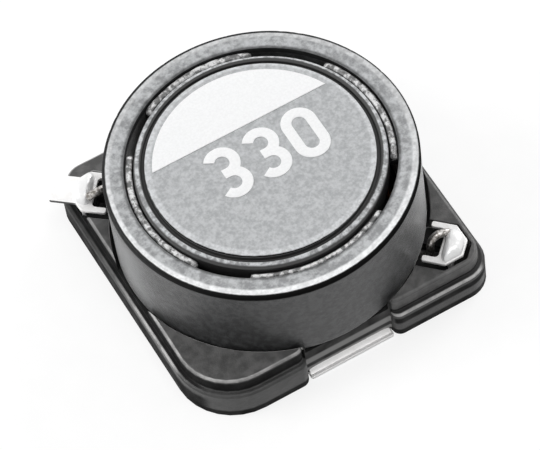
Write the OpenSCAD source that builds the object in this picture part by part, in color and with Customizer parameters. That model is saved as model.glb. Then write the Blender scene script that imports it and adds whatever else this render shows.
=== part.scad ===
// Shielded power inductor for surface mounting: a ferrite bobbin wound with
// enamelled wire stands inside a ferrite ring, both glued to a moulded base
// that carries two folded terminals. Millimetres, +Z up. The origin is the
// centre of the base's underside. X runs along the edge the value digits
// are read from, and the front pad is on the -Y side.

/* [Base] */
// Side of the square base
base_side = 12.5; // [11.2:0.1:14]
// Height of the outer slab of the base
slab_height = 1.35; // [1:0.05:1.5]
// Height of the four corner blocks
block_height = 2.05; // [1.8:0.05:2.6]
// How far the corner blocks stand in from the slab's faces
block_inset = 0.25; // [0.1:0.05:0.35]
// Bevel along the top of the corner blocks
block_bevel = 0.12; // [0.04:0.01:0.2]
// Corner radius at the two corners with no lug
plain_corner_r = 2.4; // [1:0.1:3]
// Corner radius at the two corners that carry a lug
lug_corner_r = 1.1; // [0.6:0.1:1.4]
// Height of the round seat that the ring stands on
seat_height = 1.55; // [1.45:0.05:1.7]
// Free space round the ring in its seat
seat_clearance = 0.12; // [0.04:0.01:0.2]
// Width of the seat's ledge inside the ring's bore
seat_lip = 0.15; // [0.05:0.01:0.2]
// Thickness of the floor under the bobbin
floor_thickness = 0.8; // [0.5:0.05:0.95]
// Width of the notch in the front and back edges
notch_width = 3.7; // [2.6:0.1:5]
// Depth of the notch behind the slab's face
notch_depth = 0.4; // [0.35:0.05:0.8]
// Radius on the block ends beside a notch
notch_round = 0.35; // [0.1:0.05:0.45]

/* [Ferrite ring] */
// Distance from the ring's side to the faces of the base
ring_margin = 0.25; // [0.2:0.05:0.4]
// Thickness of the ring's wall
ring_wall = 0.85; // [0.7:0.05:1.2]
// Height of the ring
ring_height = 4.08; // [3:0.02:6]
// Bevel on the ring's outer edges
ring_bevel = 0.12; // [0.04:0.01:0.25]
// Bevel on the ring's inner edges
ring_inner_bevel = 0.06; // [0.03:0.01:0.12]

/* [Ferrite bobbin] */
// Gap between the bobbin's top flange and the ring
core_gap = 0.35; // [0.2:0.01:0.5]
// Gap between the bobbin's bottom flange and the ring, where a wire passes
wire_passage = 0.65; // [0.6:0.01:0.9]
// Thickness of the top flange, up to its marked face
top_flange_thickness = 1.1; // [0.8:0.05:1.4]
// Thickness of the bottom flange
bottom_flange_thickness = 0.9; // [0.7:0.05:1.2]
// How far the marked face stands above the ring
face_proud = 0.12; // [0.05:0.01:0.3]
// Diameter of the post that carries the winding
post_d = 4.4; // [3:0.1:6]
// Width of the rim outside the pressed groove
rim_width = 0.29; // [0.2:0.01:0.4]
// Width of the pressed groove round the marked face
groove_width = 0.15; // [0.08:0.01:0.2]
// Depth of the pressed groove
groove_depth = 0.16; // [0.1:0.01:0.3]
// How far the rim lies below the marked face
rim_step = 0.06; // [0.02:0.01:0.1]
// How much further the rim falls towards its edge
rim_fall = 0.1; // [0.04:0.01:0.2]

/* [Winding] */
// Diameter of the enamelled wire
wire_d = 0.32; // [0.2:0.01:0.34]
// How far the winding lies inside the bottom flange
winding_recess = 0.2; // [0.1:0.05:0.8]
// Clearance between the winding and the bobbin
winding_clearance = 0.02; // [0.01:0.01:0.05]

/* [Terminals] */
// Thickness of the terminal sheet
sheet = 0.15; // [0.1:0.01:0.2]
// Room on each side of the pad in its notch
pad_room = 0.05; // [0.02:0.01:0.2]
// Length of the solder pad under the base
pad_length = 1.6; // [1.2:0.1:2.4]
// How far the pad's edge stands back from the slab's face
pad_setback = 0.1; // [0.05:0.05:0.3]
// Width of the strip where it leaves the pad
strip_width = 0.9; // [0.5:0.05:1.1]
// Width of the riser under the lug
riser_width = 1.2; // [0.8:0.05:1.4]
// Distance of the riser from the lug's outer end
riser_inset = 0.5; // [0.4:0.02:0.55]
// How far the lug's underside lies above the top of the blocks
lug_rise = 0.03; // [0.02:0.01:0.1]
// Gap between the ring and the lug
lug_gap = 0.2; // [0.12:0.01:0.25]
// Distance from the lug's outer end to the corner's outermost point
lug_margin = 0.68; // [0.6:0.02:0.75]
// Width of the lug
lug_width = 1.8; // [1.5:0.02:1.9]
// Corner cut at the lug's outer end
lug_corner = 0.55; // [0.45:0.05:0.65]
// Width of the wire mouth in the lug
mouth_width = 1.3; // [0.9:0.02:1.34]
// Depth of the wire mouth in the lug
mouth_depth = 0.6; // [0.5:0.01:0.65]
// Free space round the lug in the corner pocket
pocket_clearance = 0.15; // [0.08:0.01:0.17]
// Depth of the corner pocket
pocket_depth = 0.6; // [0.3:0.05:0.7]
// Side clearance of the sheet in the grooves of the base
groove_clearance = 0.04; // [0.02:0.01:0.06]
// Angle that the back lug is turned from its corner's diagonal, towards the side face
back_lug_turn = 5; // [0:0.5:5]
// Length of the tail beyond the back lug's outer end
tail_length = 0.8; // [0.1:0.05:1]
// Width of the tail
tail_width = 1.2; // [0.6:0.05:1.3]

/* [Wire ends] */
// Width of the slot that leads a wire end under the ring
slot_width = 0.6; // [0.5:0.01:0.8]
// Height of the slot's floor
slot_floor = 1; // [0.9:0.01:1.05]
// Clearance under the wire in its slot
slot_clearance = 0.04; // [0.02:0.01:0.08]
// Clearance of the solder round the wire
wire_clearance = 0.015; // [0.01:0.005:0.03]
// Height of the solder on a lug
solder_height = 0.42; // [0.36:0.02:0.6]

/* [Adhesive] */
// Angle that each bead in the gap fills
bead_angle = 64; // [40:1:80]
// Depth of a bead
bead_depth = 0.45; // [0.25:0.05:0.7]
// How far a bead's crown lies below the ring's top
bead_drop = 0.03; // [0.01:0.01:0.2]
// Height of the crown on a bead
bead_crown = 0.09; // [0.03:0.01:0.15]
// Gap that keeps a bead's curved sides off the ferrite
bead_clearance = 0.01; // [0.01:0.005:0.03]
// Thickness of the adhesive under the ring
ring_glue = 0.05; // [0.02:0.01:0.1]
// Thickness of the adhesive under the bobbin
bobbin_glue = 0.05; // [0.02:0.01:0.1]
// Diameter of the adhesive spot under the bobbin
bobbin_glue_d = 7; // [4:0.5:8.5]

/* [Marking] */
// Thickness of the printed ink
ink = 0.03; // [0.02:0.01:0.06]
// Distance of the printed field from the edge of the marked face
field_margin = 0.3; // [0.1:0.02:0.5]
// Distance of the field's straight edge from the centre
field_edge = 1.62; // [1.4:0.02:2]
// Height of the digits
digit_height = 2.4; // [1.8:0.05:2.6]
// Stroke of the digits
digit_stroke = 0.42; // [0.25:0.01:0.5]
// Space between the digits
digit_space = 0.25; // [0.1:0.01:0.4]
// Space between the digits and the field's straight edge
digit_gap = 0.32; // [0.15:0.01:0.6]
// Place of the middle digit, right of the centre
digit_shift = 0.35; // [0:0.05:0.4]

/* [Hidden] */
$fn = 72;
eps = 0.01;
half = base_side / 2;
ring_r = half - ring_margin;
bore_r = ring_r - ring_wall;
ring_bottom = seat_height + ring_glue;
ring_top = ring_bottom + ring_height;
seat_r = ring_r + seat_clearance;
pocket_r = bore_r - seat_lip;
top_flange_r = bore_r - core_gap;
bottom_flange_r = bore_r - wire_passage;
post_r = post_d / 2;
face_r = top_flange_r - rim_width - groove_width;
bobbin_bottom = floor_thickness + bobbin_glue;
face_z = ring_top + face_proud;
under_top_flange = face_z - top_flange_thickness;
over_bottom_flange = bobbin_bottom + bottom_flange_thickness;
wire_r = wire_d / 2;
winding_r = bottom_flange_r - winding_recess;
pad_width = notch_width - 2 * pad_room;
digit_width = (digit_height + digit_stroke) / 2;

// The front lug lies on the diagonal of its corner. The back one is its twin,
// turned half a turn and then a little towards the side face. Reaches are
// measured from the centre along the lug.
function lug_angle(is_back) = -45 + (is_back ? back_lug_turn : 0);
strip_lap = 0.5;
corner_reach = (half - lug_corner_r) * sqrt(2) + lug_corner_r;
lug_start = ring_r + lug_gap;
lug_end = corner_reach - lug_margin;
riser_reach = lug_end - riser_inset;
lug_level = block_height + lug_rise;
lug_top = lug_level + sheet;
pocket_floor = block_height - pocket_depth;

// Route of a wire end, in a frame whose x axis runs out along the lug: along
// the winding, down past the bottom flange, out under the ring, up through
// the mouth of the lug and into the solder. Its small steps are in wire
// diameters.
w = wire_d;
beside_winding = winding_r + 0.62 * w;
beside_flange = (bottom_flange_r + pocket_r) / 2;
in_slot = slot_floor + slot_clearance + wire_r;
in_mouth = lug_start + 0.56 * w;
over_lug = lug_top + 0.9 * w;
function around(r, a, z) = [r * cos(a), r * sin(a), z];
ROUTE = [around(beside_winding, 48, over_bottom_flange + 1.4 * w),
         around(beside_winding, 38, over_bottom_flange + 1.37 * w),
         around(beside_winding + 0.2 * w, 28, over_bottom_flange + 1.2 * w),
         around(beside_flange - 0.12 * w, 18.5, over_bottom_flange + 0.7 * w),
         around(beside_flange, 10.5, over_bottom_flange - 0.06 * w),
         around(beside_flange + 0.06 * w, 4.5, in_slot + 0.8 * w),
         [beside_flange + 0.72 * w, 0.3 * w, in_slot + 0.16 * w],
         [beside_flange + 2 * w, 0, in_slot],
         [ring_r - 0.3 * w, -0.16 * w, in_slot],
         [lug_start, -0.34 * w, in_slot + 0.37 * w],
         [in_mouth - 0.1 * w, -0.5 * w, in_slot + 1.4 * w],
         [in_mouth, -0.47 * w, lug_level + 0.16 * w],
         [in_mouth + 0.22 * w, -0.16 * w, over_lug - 0.3 * w],
         [in_mouth + 0.7 * w, 0.4 * w, over_lug],
         [(in_mouth + riser_reach) / 2 + 0.06 * w, 0.94 * w, over_lug - 0.1 * w],
         [riser_reach - 0.7 * w, 1.25 * w, over_lug - 0.28 * w]];

// Outline of the base, moved in by inset. The lug corners have the small radius.
function corner_r(sx, sy, inset) = (sx * sy < 0 ? lug_corner_r : plain_corner_r) - inset;

module outline(inset, fine) {
    s = half - inset;
    corners = [[1, 1], [-1, 1], [-1, -1], [1, -1]];
    polygon([for (c = corners) let (r = corner_r(c.x, c.y, inset))
        each (c.x * c.y > 0 ? [[c.x * s, c.y * (s - r)], [c.x * (s - r), c.y * s]]
                            : [[c.x * (s - r), c.y * s], [c.x * s, c.y * (s - r)]])]);
    for (c = corners) {
        r = corner_r(c.x, c.y, inset);
        translate([c.x * (s - r), c.y * (s - r)]) circle(r, $fn = fine);
    }
}

// One notch in the front edge, with the ends of the blocks rounded
module notch(inset) {
    face = half - inset;
    translate([-notch_width / 2, -half - 1]) square([notch_width, 1 + notch_depth]);
    for (side = [-1, 1]) mirror([side < 0 ? 1 : 0, 0])
        translate([notch_width / 2 - eps, -face - eps]) difference() {
            square(notch_round + eps);
            translate([notch_round + eps, notch_round + eps]) circle(notch_round);
        }
}

module notched(inset, fine) {
    difference() {
        outline(inset, fine);
        notch(inset);
        rotate(180) notch(inset);
    }
}

// The flat part of a terminal: its pad under the front notch and the strip
// to the foot of the riser, each grown by a clearance
module flat_sheet(angle, grow) {
    front = pad_setback - half;
    back = front + pad_length;
    side = pad_width / 2;
    foot = (riser_reach + sheet / 2 + grow) * [cos(angle), sin(angle)];
    arm = (riser_width / 2 + grow) * [-sin(angle), cos(angle)];
    translate([-side - grow, front - grow]) square([2 * (side + grow), pad_length + 2 * grow]);
    polygon([[side - strip_lap, back + grow], [side - strip_lap, back - strip_width - grow],
             foot - arm, foot + arm]);
}

module riser(grow, z0, z1) {
    translate([riser_reach - sheet / 2 - grow, -riser_width / 2 - grow, z0])
        cube([sheet + 2 * grow, riser_width + 2 * grow, z1 - z0]);
}

module lug_shape(start, end, width, cut) {
    polygon([[start, -width / 2], [end - cut, -width / 2], [end, -width / 2 + cut],
             [end, width / 2 - cut], [end - cut, width / 2], [start, width / 2]]);
}

module wire_slot() {
    translate([post_r, -slot_width / 2, slot_floor])
        cube([lug_start + 2 * wire_d + wire_clearance - post_r, slot_width, block_height]);
}

module base() {
    color([0.2, 0.2, 0.21]) difference() {
        union() {
            linear_extrude(slab_height) notched(0, $fn);
            linear_extrude(block_height - block_bevel) notched(block_inset, $fn);
            difference() {
                hull() {
                    translate([0, 0, block_height - block_bevel - eps])
                        linear_extrude(eps) outline(block_inset, 32);
                    translate([0, 0, block_height - eps])
                        linear_extrude(eps) outline(block_inset + block_bevel, 32);
                }
                for (turn = [0, 180]) rotate(turn)
                    linear_extrude(block_height + 1) notch(block_inset);
            }
        }
        translate([0, 0, seat_height]) cylinder(r = seat_r, h = block_height);
        translate([0, 0, floor_thickness]) cylinder(r = pocket_r, h = block_height);
        for (is_back = [false, true]) rotate(is_back ? 180 : 0) {
            angle = lug_angle(is_back);
            translate([0, 0, -eps]) linear_extrude(sheet + eps) flat_sheet(angle, groove_clearance);
            rotate(angle) {
                riser(groove_clearance, 0, block_height);
                wire_slot();
                translate([0, 0, pocket_floor]) linear_extrude(block_height)
                    lug_shape(ring_r - ring_bevel, lug_end + pocket_clearance,
                              lug_width + 2 * pocket_clearance, lug_corner + pocket_clearance);
            }
        }
    }
}

module ring_core() {
    color([0.62, 0.63, 0.65]) rotate_extrude() polygon([
        [bore_r + ring_inner_bevel, ring_bottom], [ring_r - ring_bevel, ring_bottom],
        [ring_r, ring_bottom + ring_bevel], [ring_r, ring_top - ring_bevel],
        [ring_r - ring_bevel, ring_top], [bore_r + ring_inner_bevel, ring_top],
        [bore_r, ring_top - ring_inner_bevel], [bore_r, ring_bottom + ring_inner_bevel]]);
}

module drum_core() {
    rim_in = face_r + groove_width;
    rim_z = face_z - rim_step;
    edge = ring_inner_bevel;
    color([0.6, 0.61, 0.63]) rotate_extrude() polygon([
        [0, bobbin_bottom], [bottom_flange_r - edge, bobbin_bottom],
        [bottom_flange_r, bobbin_bottom + edge], [bottom_flange_r, over_bottom_flange - edge],
        [bottom_flange_r - edge, over_bottom_flange], [post_r, over_bottom_flange],
        [post_r, under_top_flange], [top_flange_r - edge, under_top_flange],
        [top_flange_r, under_top_flange + edge], [top_flange_r, rim_z - rim_fall],
        [rim_in, rim_z], [rim_in, face_z - groove_depth],
        [face_r, face_z - groove_depth], [face_r, face_z], [0, face_z]]);
}

// The coil is one ring of laid turns: its outside follows the round wire
module winding() {
    low = over_bottom_flange + winding_clearance;
    high = under_top_flange - winding_clearance;
    turns = floor((high - low) / wire_d);
    pitch = (high - low) / turns;
    crest = winding_r - wire_r;
    outside = [for (i = [0 : turns - 1], a = [-75 : 30 : 75])
        [crest + wire_r * cos(a), low + pitch * (i + 0.5 + 0.48 * sin(a) / sin(75))]];
    color([0.66, 0.33, 0.14]) rotate_extrude() polygon(concat(
        [[post_r + winding_clearance, low]], outside, [[post_r + winding_clearance, high]]));
}

// A point on the smooth curve through the route: t counts route points
function smooth(p, t) =
    let (n = len(p), i = min(floor(t), n - 2), f = t - i,
         a = p[max(i - 1, 0)], b = p[i], c = p[i + 1], d = p[min(i + 2, n - 1)])
    b + (c - a) * f / 2 + (2 * a - 5 * b + 4 * c - d) * f * f / 2
      + (3 * b - a - 3 * c + d) * f * f * f / 2;

// Tube of round wire along a route: one ring of points square to the curve
// at each step, and a fan of faces on each end
module tube(p, r, steps, sides) {
    rings = (len(p) - 1) * steps;
    points = [for (k = [0 : rings])
        let (t = k / steps, here = smooth(p, t), h = 0.02,
             ahead = smooth(p, min(t + h, len(p) - 1)), behind = smooth(p, max(t - h, 0)),
             along = (ahead - behind) / norm(ahead - behind),
             flat = cross(along, [0.3, 1, 0.2]), u = flat / norm(flat), v = cross(along, u))
        for (j = [0 : sides - 1]) here + r * (u * cos(360 * j / sides) + v * sin(360 * j / sides))];
    skin = [for (k = [0 : rings - 1], j = [0 : sides - 1])
        let (j2 = (j + 1) % sides)
        [k * sides + j, k * sides + j2, (k + 1) * sides + j2, (k + 1) * sides + j]];
    halves = [for (q = skin) each [[q[0], q[2], q[1]], [q[0], q[3], q[2]]]];
    last = rings * sides;
    near_end = [for (j = [1 : sides - 2]) [0, j, j + 1]];
    far_end = [for (j = [1 : sides - 2]) [last, last + j + 1, last + j]];
    polyhedron(points, concat(halves, near_end, far_end));
}

module lead() {
    color([0.72, 0.38, 0.18]) tube(ROUTE, wire_r, 3, 8);
}

module start_lead() rotate(lug_angle(false)) lead();

module finish_lead() rotate(180 + lug_angle(true)) lead();

// The back terminal keeps a tail, the stub of the strip it was cut from
module terminal(is_back) {
    angle = lug_angle(is_back);
    color([0.86, 0.86, 0.87]) {
        linear_extrude(sheet) flat_sheet(angle, 0);
        rotate(angle) riser(0, 0, lug_top);
        rotate(angle) translate([0, 0, lug_level]) linear_extrude(sheet) difference() {
            union() {
                lug_shape(lug_start, lug_end, lug_width, lug_corner);
                if (is_back) translate([lug_end - lug_corner, -tail_width / 2])
                    square([lug_corner + tail_length, tail_width]);
            }
            translate([lug_start - 1, -mouth_width / 2]) square([mouth_depth + 1, mouth_width]);
        }
    }
}

module front_terminal() terminal(false);

module back_terminal() rotate(180) terminal(true);

// Solder heaped on the outer part of a lug and round the end of the wire
module solder() {
    side = lug_width / 2;
    color([0.93, 0.93, 0.94]) difference() {
        hull() {
            translate([riser_reach, 0, lug_top]) linear_extrude(eps) polygon([
                [-0.3, -0.65], [-0.3, side - 0.3], [0.1, side - 0.26], [riser_inset - 0.15, 0.45],
                [riser_inset - 0.08, 0.25], [riser_inset - 0.08, lug_corner + 0.02 - side],
                [riser_inset - lug_corner - 0.02, 0.08 - side]]);
            translate([riser_reach, 0.15, lug_top + solder_height / 2])
                linear_extrude(solder_height / 2) circle(0.2, $fn = 24);
            translate([riser_reach + 0.02, 0.12, lug_top + solder_height / 2])
                linear_extrude(eps) circle(0.4, $fn = 24);
        }
        tube(ROUTE, wire_r + wire_clearance, 3, 8);
    }
}

module front_solder() rotate(lug_angle(false)) solder();

module back_solder() rotate(180 + lug_angle(true)) solder();

// One bead of adhesive between the bobbin's top flange and the ring, round
// the middle of one side; the gap stays open at the corners
module gap_bead(turn) {
    inner = top_flange_r + bead_clearance;
    outer = bore_r - bead_clearance;
    top = ring_top - bead_drop - bead_crown;
    span = outer - inner;
    color([0.68, 0.68, 0.69]) rotate(turn - bead_angle / 2) rotate_extrude(angle = bead_angle)
        polygon(concat([[outer, top - bead_depth]],
            [for (a = [0 : 30 : 180]) [inner + span / 2 + span / 2 * cos(a), top + bead_crown * sin(a)]],
            [[inner, top - bead_depth]]));
}

module ring_adhesive() {
    color([0.75, 0.73, 0.68]) difference() {
        translate([0, 0, seat_height]) difference() {
            cylinder(r = ring_r - ring_bevel, h = ring_glue);
            translate([0, 0, -eps])
                cylinder(r = bore_r + ring_inner_bevel, h = ring_glue + 2 * eps);
        }
        for (is_back = [false, true]) rotate((is_back ? 180 : 0) + lug_angle(is_back)) wire_slot();
    }
}

module drum_adhesive() {
    color([0.75, 0.73, 0.68]) translate([0, 0, floor_thickness])
        cylinder(d = bobbin_glue_d, h = bobbin_glue);
}

// Half-moon field of white ink behind its straight edge
module polarity_field() {
    color([0.96, 0.96, 0.97]) translate([0, 0, face_z]) linear_extrude(ink) intersection() {
        circle(face_r - field_margin);
        translate([-face_r, field_edge]) square(2 * face_r);
    }
}

// A digit's two bowls are rings of the stroke's width, one above the other
module bowls(r) {
    for (side = [-1, 1]) translate([0, side * (digit_height - digit_width) / 2]) circle(r);
}

module three() {
    bowl_r = digit_width / 2;
    rise = digit_height / 2 - bowl_r;
    for (side = [-1, 1]) translate([0, side * rise]) difference() {
        circle(bowl_r);
        circle(bowl_r - digit_stroke);
        polygon([[0, 0], [-2 * bowl_r, side * bowl_r], [-2 * bowl_r, -side * 2 * bowl_r],
                 [0, -side * 2 * bowl_r]]);
    }
    translate([-bowl_r * 0.28, -digit_stroke / 2]) square([bowl_r * 0.4, digit_stroke]);
}

module zero() {
    bowl_r = digit_width / 2;
    rise = digit_height / 2 - bowl_r;
    difference() {
        union() {
            bowls(bowl_r);
            translate([-bowl_r, -rise]) square([2 * bowl_r, 2 * rise]);
        }
        bowls(bowl_r - digit_stroke);
        translate([digit_stroke - bowl_r, -rise]) square([2 * (bowl_r - digit_stroke), 2 * rise]);
    }
}

module value_digits() {
    pitch = digit_width + digit_space;
    middle = field_edge - digit_gap - digit_height / 2;
    color([0.97, 0.97, 0.98]) translate([digit_shift, middle, face_z]) linear_extrude(ink) {
        translate([-pitch, 0]) three();
        three();
        translate([pitch, 0]) zero();
    }
}

base();
ring_core();
drum_core();
winding();
start_lead();
finish_lead();
front_terminal();
back_terminal();
front_solder();
back_solder();
gap_bead(-90);  // gap_bead_front
gap_bead(0);  // gap_bead_right
gap_bead(90);  // gap_bead_back
gap_bead(180);  // gap_bead_left
ring_adhesive();
drum_adhesive();
polarity_field();
value_digits();
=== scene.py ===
import math

import bmesh
import bpy
import numpy as np
from mathutils import Matrix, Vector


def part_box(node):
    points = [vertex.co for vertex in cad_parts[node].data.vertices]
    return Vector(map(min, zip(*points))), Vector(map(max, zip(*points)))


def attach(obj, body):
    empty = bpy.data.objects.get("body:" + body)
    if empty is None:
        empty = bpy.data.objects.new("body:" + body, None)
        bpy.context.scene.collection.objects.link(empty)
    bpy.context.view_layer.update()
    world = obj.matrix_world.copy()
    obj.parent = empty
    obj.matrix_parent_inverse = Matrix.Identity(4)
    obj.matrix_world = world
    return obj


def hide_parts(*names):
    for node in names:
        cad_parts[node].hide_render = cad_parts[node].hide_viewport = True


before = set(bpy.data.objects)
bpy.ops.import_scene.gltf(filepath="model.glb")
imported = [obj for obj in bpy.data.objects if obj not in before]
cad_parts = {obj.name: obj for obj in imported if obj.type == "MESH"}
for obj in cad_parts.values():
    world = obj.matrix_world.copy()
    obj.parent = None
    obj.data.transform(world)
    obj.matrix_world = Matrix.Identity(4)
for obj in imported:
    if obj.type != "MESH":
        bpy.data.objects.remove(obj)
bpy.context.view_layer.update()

# ---------------------------------------------------------------- the studio
# A small white table in a white tent, which is bright overhead and at both
# sides and falls off towards the open side, where the camera stands. Broad
# lamps hang at the left, at the right and overhead, and catch the edges.

TENT_LEFT = (-0.80, 0.32, 0.50)
TENT_RIGHT = (0.95, -0.12, 0.28)
TENT_OPEN = (-0.30, -0.80, 0.52)


class Signal:
    """One output of a shader node. Arithmetic on it adds Math nodes."""

    def __init__(self, net, socket):
        self.net = net
        self.socket = socket

    def maths(self, kind, first, second):
        return self.net.node("ShaderNodeMath", {"operation": kind}, {0: first, 1: second})

    def __add__(self, other):
        return self.maths("ADD", self, other)

    __radd__ = __add__

    def __sub__(self, other):
        return self.maths("SUBTRACT", self, other)

    def __rsub__(self, other):
        return self.maths("SUBTRACT", other, self)

    def __mul__(self, other):
        return self.maths("MULTIPLY", self, other)

    __rmul__ = __mul__

    def __pow__(self, other):
        return self.maths("POWER", self, other)

    def most(self, other):
        """The greater of the two."""
        return self.maths("MAXIMUM", self, other)

    def step(self, low, high):
        """Rises smoothly from 0 at low to 1 at high, or falls where low is the greater."""
        return self.net.node("ShaderNodeMapRange", {"interpolation_type": "SMOOTHSTEP"},
                             {"Value": self, "From Min": low, "From Max": high})

    def band(self, low, full_low, full_high, high):
        """Rises from 0 at low to 1 at full_low, and falls from 1 at full_high to 0 at high."""
        return self.step(low, full_low) * self.step(high, full_high)


class Net:
    """The node tree of one material or of the world."""

    def __init__(self, tree):
        self.tree = tree
        tree.nodes.clear()

    def node(self, kind, settings=None, inputs=None, output=0):
        """Adds one node: first its settings, then the values or links of its sockets."""
        made = self.tree.nodes.new(kind)
        for key, value in (settings or {}).items():
            setattr(made, key, value)
        for key, value in (inputs or {}).items():
            if isinstance(value, Signal):
                self.tree.links.new(value.socket, made.inputs[key])
            else:
                made.inputs[key].default_value = value
        return Signal(self, made.outputs[output]) if made.outputs else made

    def mix(self, share, first, second):
        """A colour between first and second."""
        return self.node("ShaderNodeMix", {"data_type": "RGBA"}, {0: share, 6: first, 7: second}, 2)

    def greys(self, share, first, second, warmth=0.0):
        """A neutral colour between two levels."""
        return self.mix(share, grey(first, warmth), grey(second, warmth))

    def dot(self, vector, direction):
        """How far a vector points along a fixed direction."""
        return self.node("ShaderNodeVectorMath", {"operation": "DOT_PRODUCT"},
                         {0: vector, 1: direction}, "Value")


def grey(level, warmth=0.0):
    """A neutral colour; warmth above 0 turns it towards yellow, below 0 towards blue."""
    return (level * (1 + warmth), level, level * (1 - warmth), 1)


world = bpy.data.worlds.new("tent")
bpy.context.scene.world = world
world.use_nodes = True
tent = Net(world.node_tree)
towards = tent.node("ShaderNodeTexCoord", output="Generated")
left_side = tent.dot(towards, TENT_LEFT).most(0.0) ** 2.0
right_side = tent.dot(towards, TENT_RIGHT).most(0.0) ** 3.0
open_side = tent.dot(towards, TENT_OPEN).most(0.0) ** 1.5
overhead = tent.dot(towards, (0.0, 0.0, 1.0)).most(0.0)
tent_light = (0.32 + 0.45 * left_side + 0.50 * right_side + 0.30 * overhead - 0.28 * open_side).most(0.05)
SEEING_RAYS = ("Is Camera Ray", "Is Glossy Ray", "Is Transmission Ray")


def seen(net):
    """1 for a ray that looks at a surface straight, mirrored or through glass."""
    rays = [net.node("ShaderNodeLightPath", output=ray) for ray in SEEING_RAYS]
    return rays[0].most(rays[1]).most(rays[2])


glow = tent.node("ShaderNodeBackground", None, {"Strength": tent_light})
backdrop = tent.node("ShaderNodeBackground", None, {"Color": (1, 1, 1, 1), "Strength": 1.0})
tent.node("ShaderNodeOutputWorld", None,
          {"Surface": tent.node("ShaderNodeMixShader", None, {0: seen(tent), 1: glow, 2: backdrop})})


def lamp(name, towards, strength, spread):
    """A soft lamp a long way off in the direction towards; spread is its width in degrees."""
    light = bpy.data.lights.new(name, "SUN")
    light.energy = strength
    light.angle = math.radians(spread)
    held = bpy.data.objects.new(name, light)
    x, y, z = towards
    held.rotation_euler = (math.atan2(math.hypot(x, y), z), 0, math.atan2(x, -y))
    bpy.context.scene.collection.objects.link(held)


lamp("key_lamp", (-0.76, 0.40, 0.50), 1.45, 30)
lamp("right_lamp", (0.84, 0.36, 0.42), 1.15, 30)
lamp("top_lamp", (0.12, -0.34, 0.93), 0.50, 25)

table_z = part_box("base")[0].z + 4e-6
bpy.ops.mesh.primitive_plane_add(size=1.2, location=(0, 0, table_z))
table = bpy.context.object
table.name = "table"
cover = bpy.data.materials.new("white table")
cover.use_nodes = True
paint = Net(cover.node_tree)
fibre = paint.node("ShaderNodeTexNoise", None, {"Scale": 900.0, "Detail": 3.0,
                   "Vector": paint.node("ShaderNodeTexCoord", output="Object")}, "Fac")
matt = paint.node("ShaderNodeBsdfDiffuse", None, {"Color": paint.greys(fibre, 0.24, 0.28)})
lift = paint.node("ShaderNodeEmission", None, {"Color": (1, 1, 1, 1), "Strength": 0.78 * seen(paint)})
paint.node("ShaderNodeOutputMaterial", None,
           {"Surface": paint.node("ShaderNodeAddShader", None, {0: matt, 1: lift})})
table.data.materials.append(cover)

# The camera looks down on the front left of the part from a long way off, as
# with a long lens, and is turned a little about its own axis. Its distance
# and its two shifts are in ring radii, from the centre of the ring's top.
ring_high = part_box("ring_core")[1]
azimuth, elevation, roll = (math.radians(a) for a in (-21.665, 56.793, -9.258))
distance, shift_right, shift_up = 24.865, 0.0588, -0.4013
backward = np.array([math.sin(azimuth) * math.cos(elevation), -math.cos(azimuth) * math.cos(elevation),
                     math.sin(elevation)])
level_right = np.cross(-backward, [0, 0, 1])
level_right /= np.linalg.norm(level_right)
level_up = np.cross(level_right, -backward)
camera_right = math.cos(roll) * level_right + math.sin(roll) * level_up
camera_up = math.cos(roll) * level_up - math.sin(roll) * level_right
stand = distance * backward + shift_right * camera_right + shift_up * camera_up
pose = np.eye(4)
pose[:3, :3] = np.stack([camera_right, camera_up, backward], axis=1)
pose[:3, 3] = ring_high.x * stand + [0, 0, ring_high.z]
camera = bpy.data.objects.new("camera", bpy.data.cameras.new("camera"))
camera.data.lens = 266.67
camera.data.clip_start = 0.005
camera.matrix_world = Matrix(pose.tolist())
bpy.context.scene.collection.objects.link(camera)
bpy.context.scene.camera = camera
bpy.context.scene.view_settings.view_transform = "Standard"

# ---------------------------------------------------------- the ferrite ring
# The shield: one ring of sintered manganese-zinc ferrite. Its top is ground
# flat and painted pale, partly for that finish and partly as painted sheen of
# the light from above; its wall is dark as it left the kiln, and its edges were
# broken by tumbling. It is glued into the round seat of the base.

MM = 0.001
TURN = 2 * math.pi


class Skin:
    """A mesh gathered from grids of points, which are rows by columns by (x, y, z) in millimetres."""

    def __init__(self):
        self.points, self.faces, self.tones, self.count = [], [], [], 0

    def grid(self, points, around=False, closed=False, tone=0.0):
        """Adds one grid. around joins its last column to the first, closed its last row to the first.
        tone is a number for each row that the material reads."""
        rows, columns = points.shape[:2]
        number = self.count + np.arange(rows * columns).reshape(rows, columns)
        if around:
            number = np.concatenate([number, number[:, :1]], axis=1)
        if closed:
            number = np.concatenate([number, number[:1]], axis=0)
        quads = np.stack([number[:-1, :-1], number[:-1, 1:], number[1:, 1:], number[1:, :-1]], axis=-1)
        tones = np.broadcast_to(tone, rows)
        self.points.append(points.reshape(-1, 3))
        self.faces += quads.reshape(-1, 4).tolist()
        self.tones.append(np.repeat(tones, columns))
        self.count += rows * columns
        return self

    def lid(self, rim):
        """Adds one flat face with this rim."""
        self.points.append(rim)
        self.faces.append((self.count + np.arange(len(rim))).tolist())
        self.tones.append(np.zeros(len(rim)))
        self.count += len(rim)
        return self

    def piece(self, name, sharp=35.0):
        """Makes the object: points that coincide are joined and all faces turned outwards."""
        mesh = bpy.data.meshes.new(name)
        mesh.from_pydata((np.concatenate(self.points) * MM).tolist(), [], self.faces)
        tone = mesh.attributes.new("tone", "FLOAT", "POINT")
        tone.data.foreach_set("value", np.concatenate(self.tones).astype(np.float32))
        work = bmesh.new()
        work.from_mesh(mesh)
        bmesh.ops.remove_doubles(work, verts=work.verts, dist=2e-7)
        bmesh.ops.recalc_face_normals(work, faces=work.faces)
        work.to_mesh(mesh)
        work.free()
        mesh.polygons.foreach_set("use_smooth", [True] * len(mesh.polygons))
        mesh.set_sharp_from_angle(angle=math.radians(sharp))
        made = bpy.data.objects.new(name, mesh)
        bpy.context.scene.collection.objects.link(made)
        return made


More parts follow.
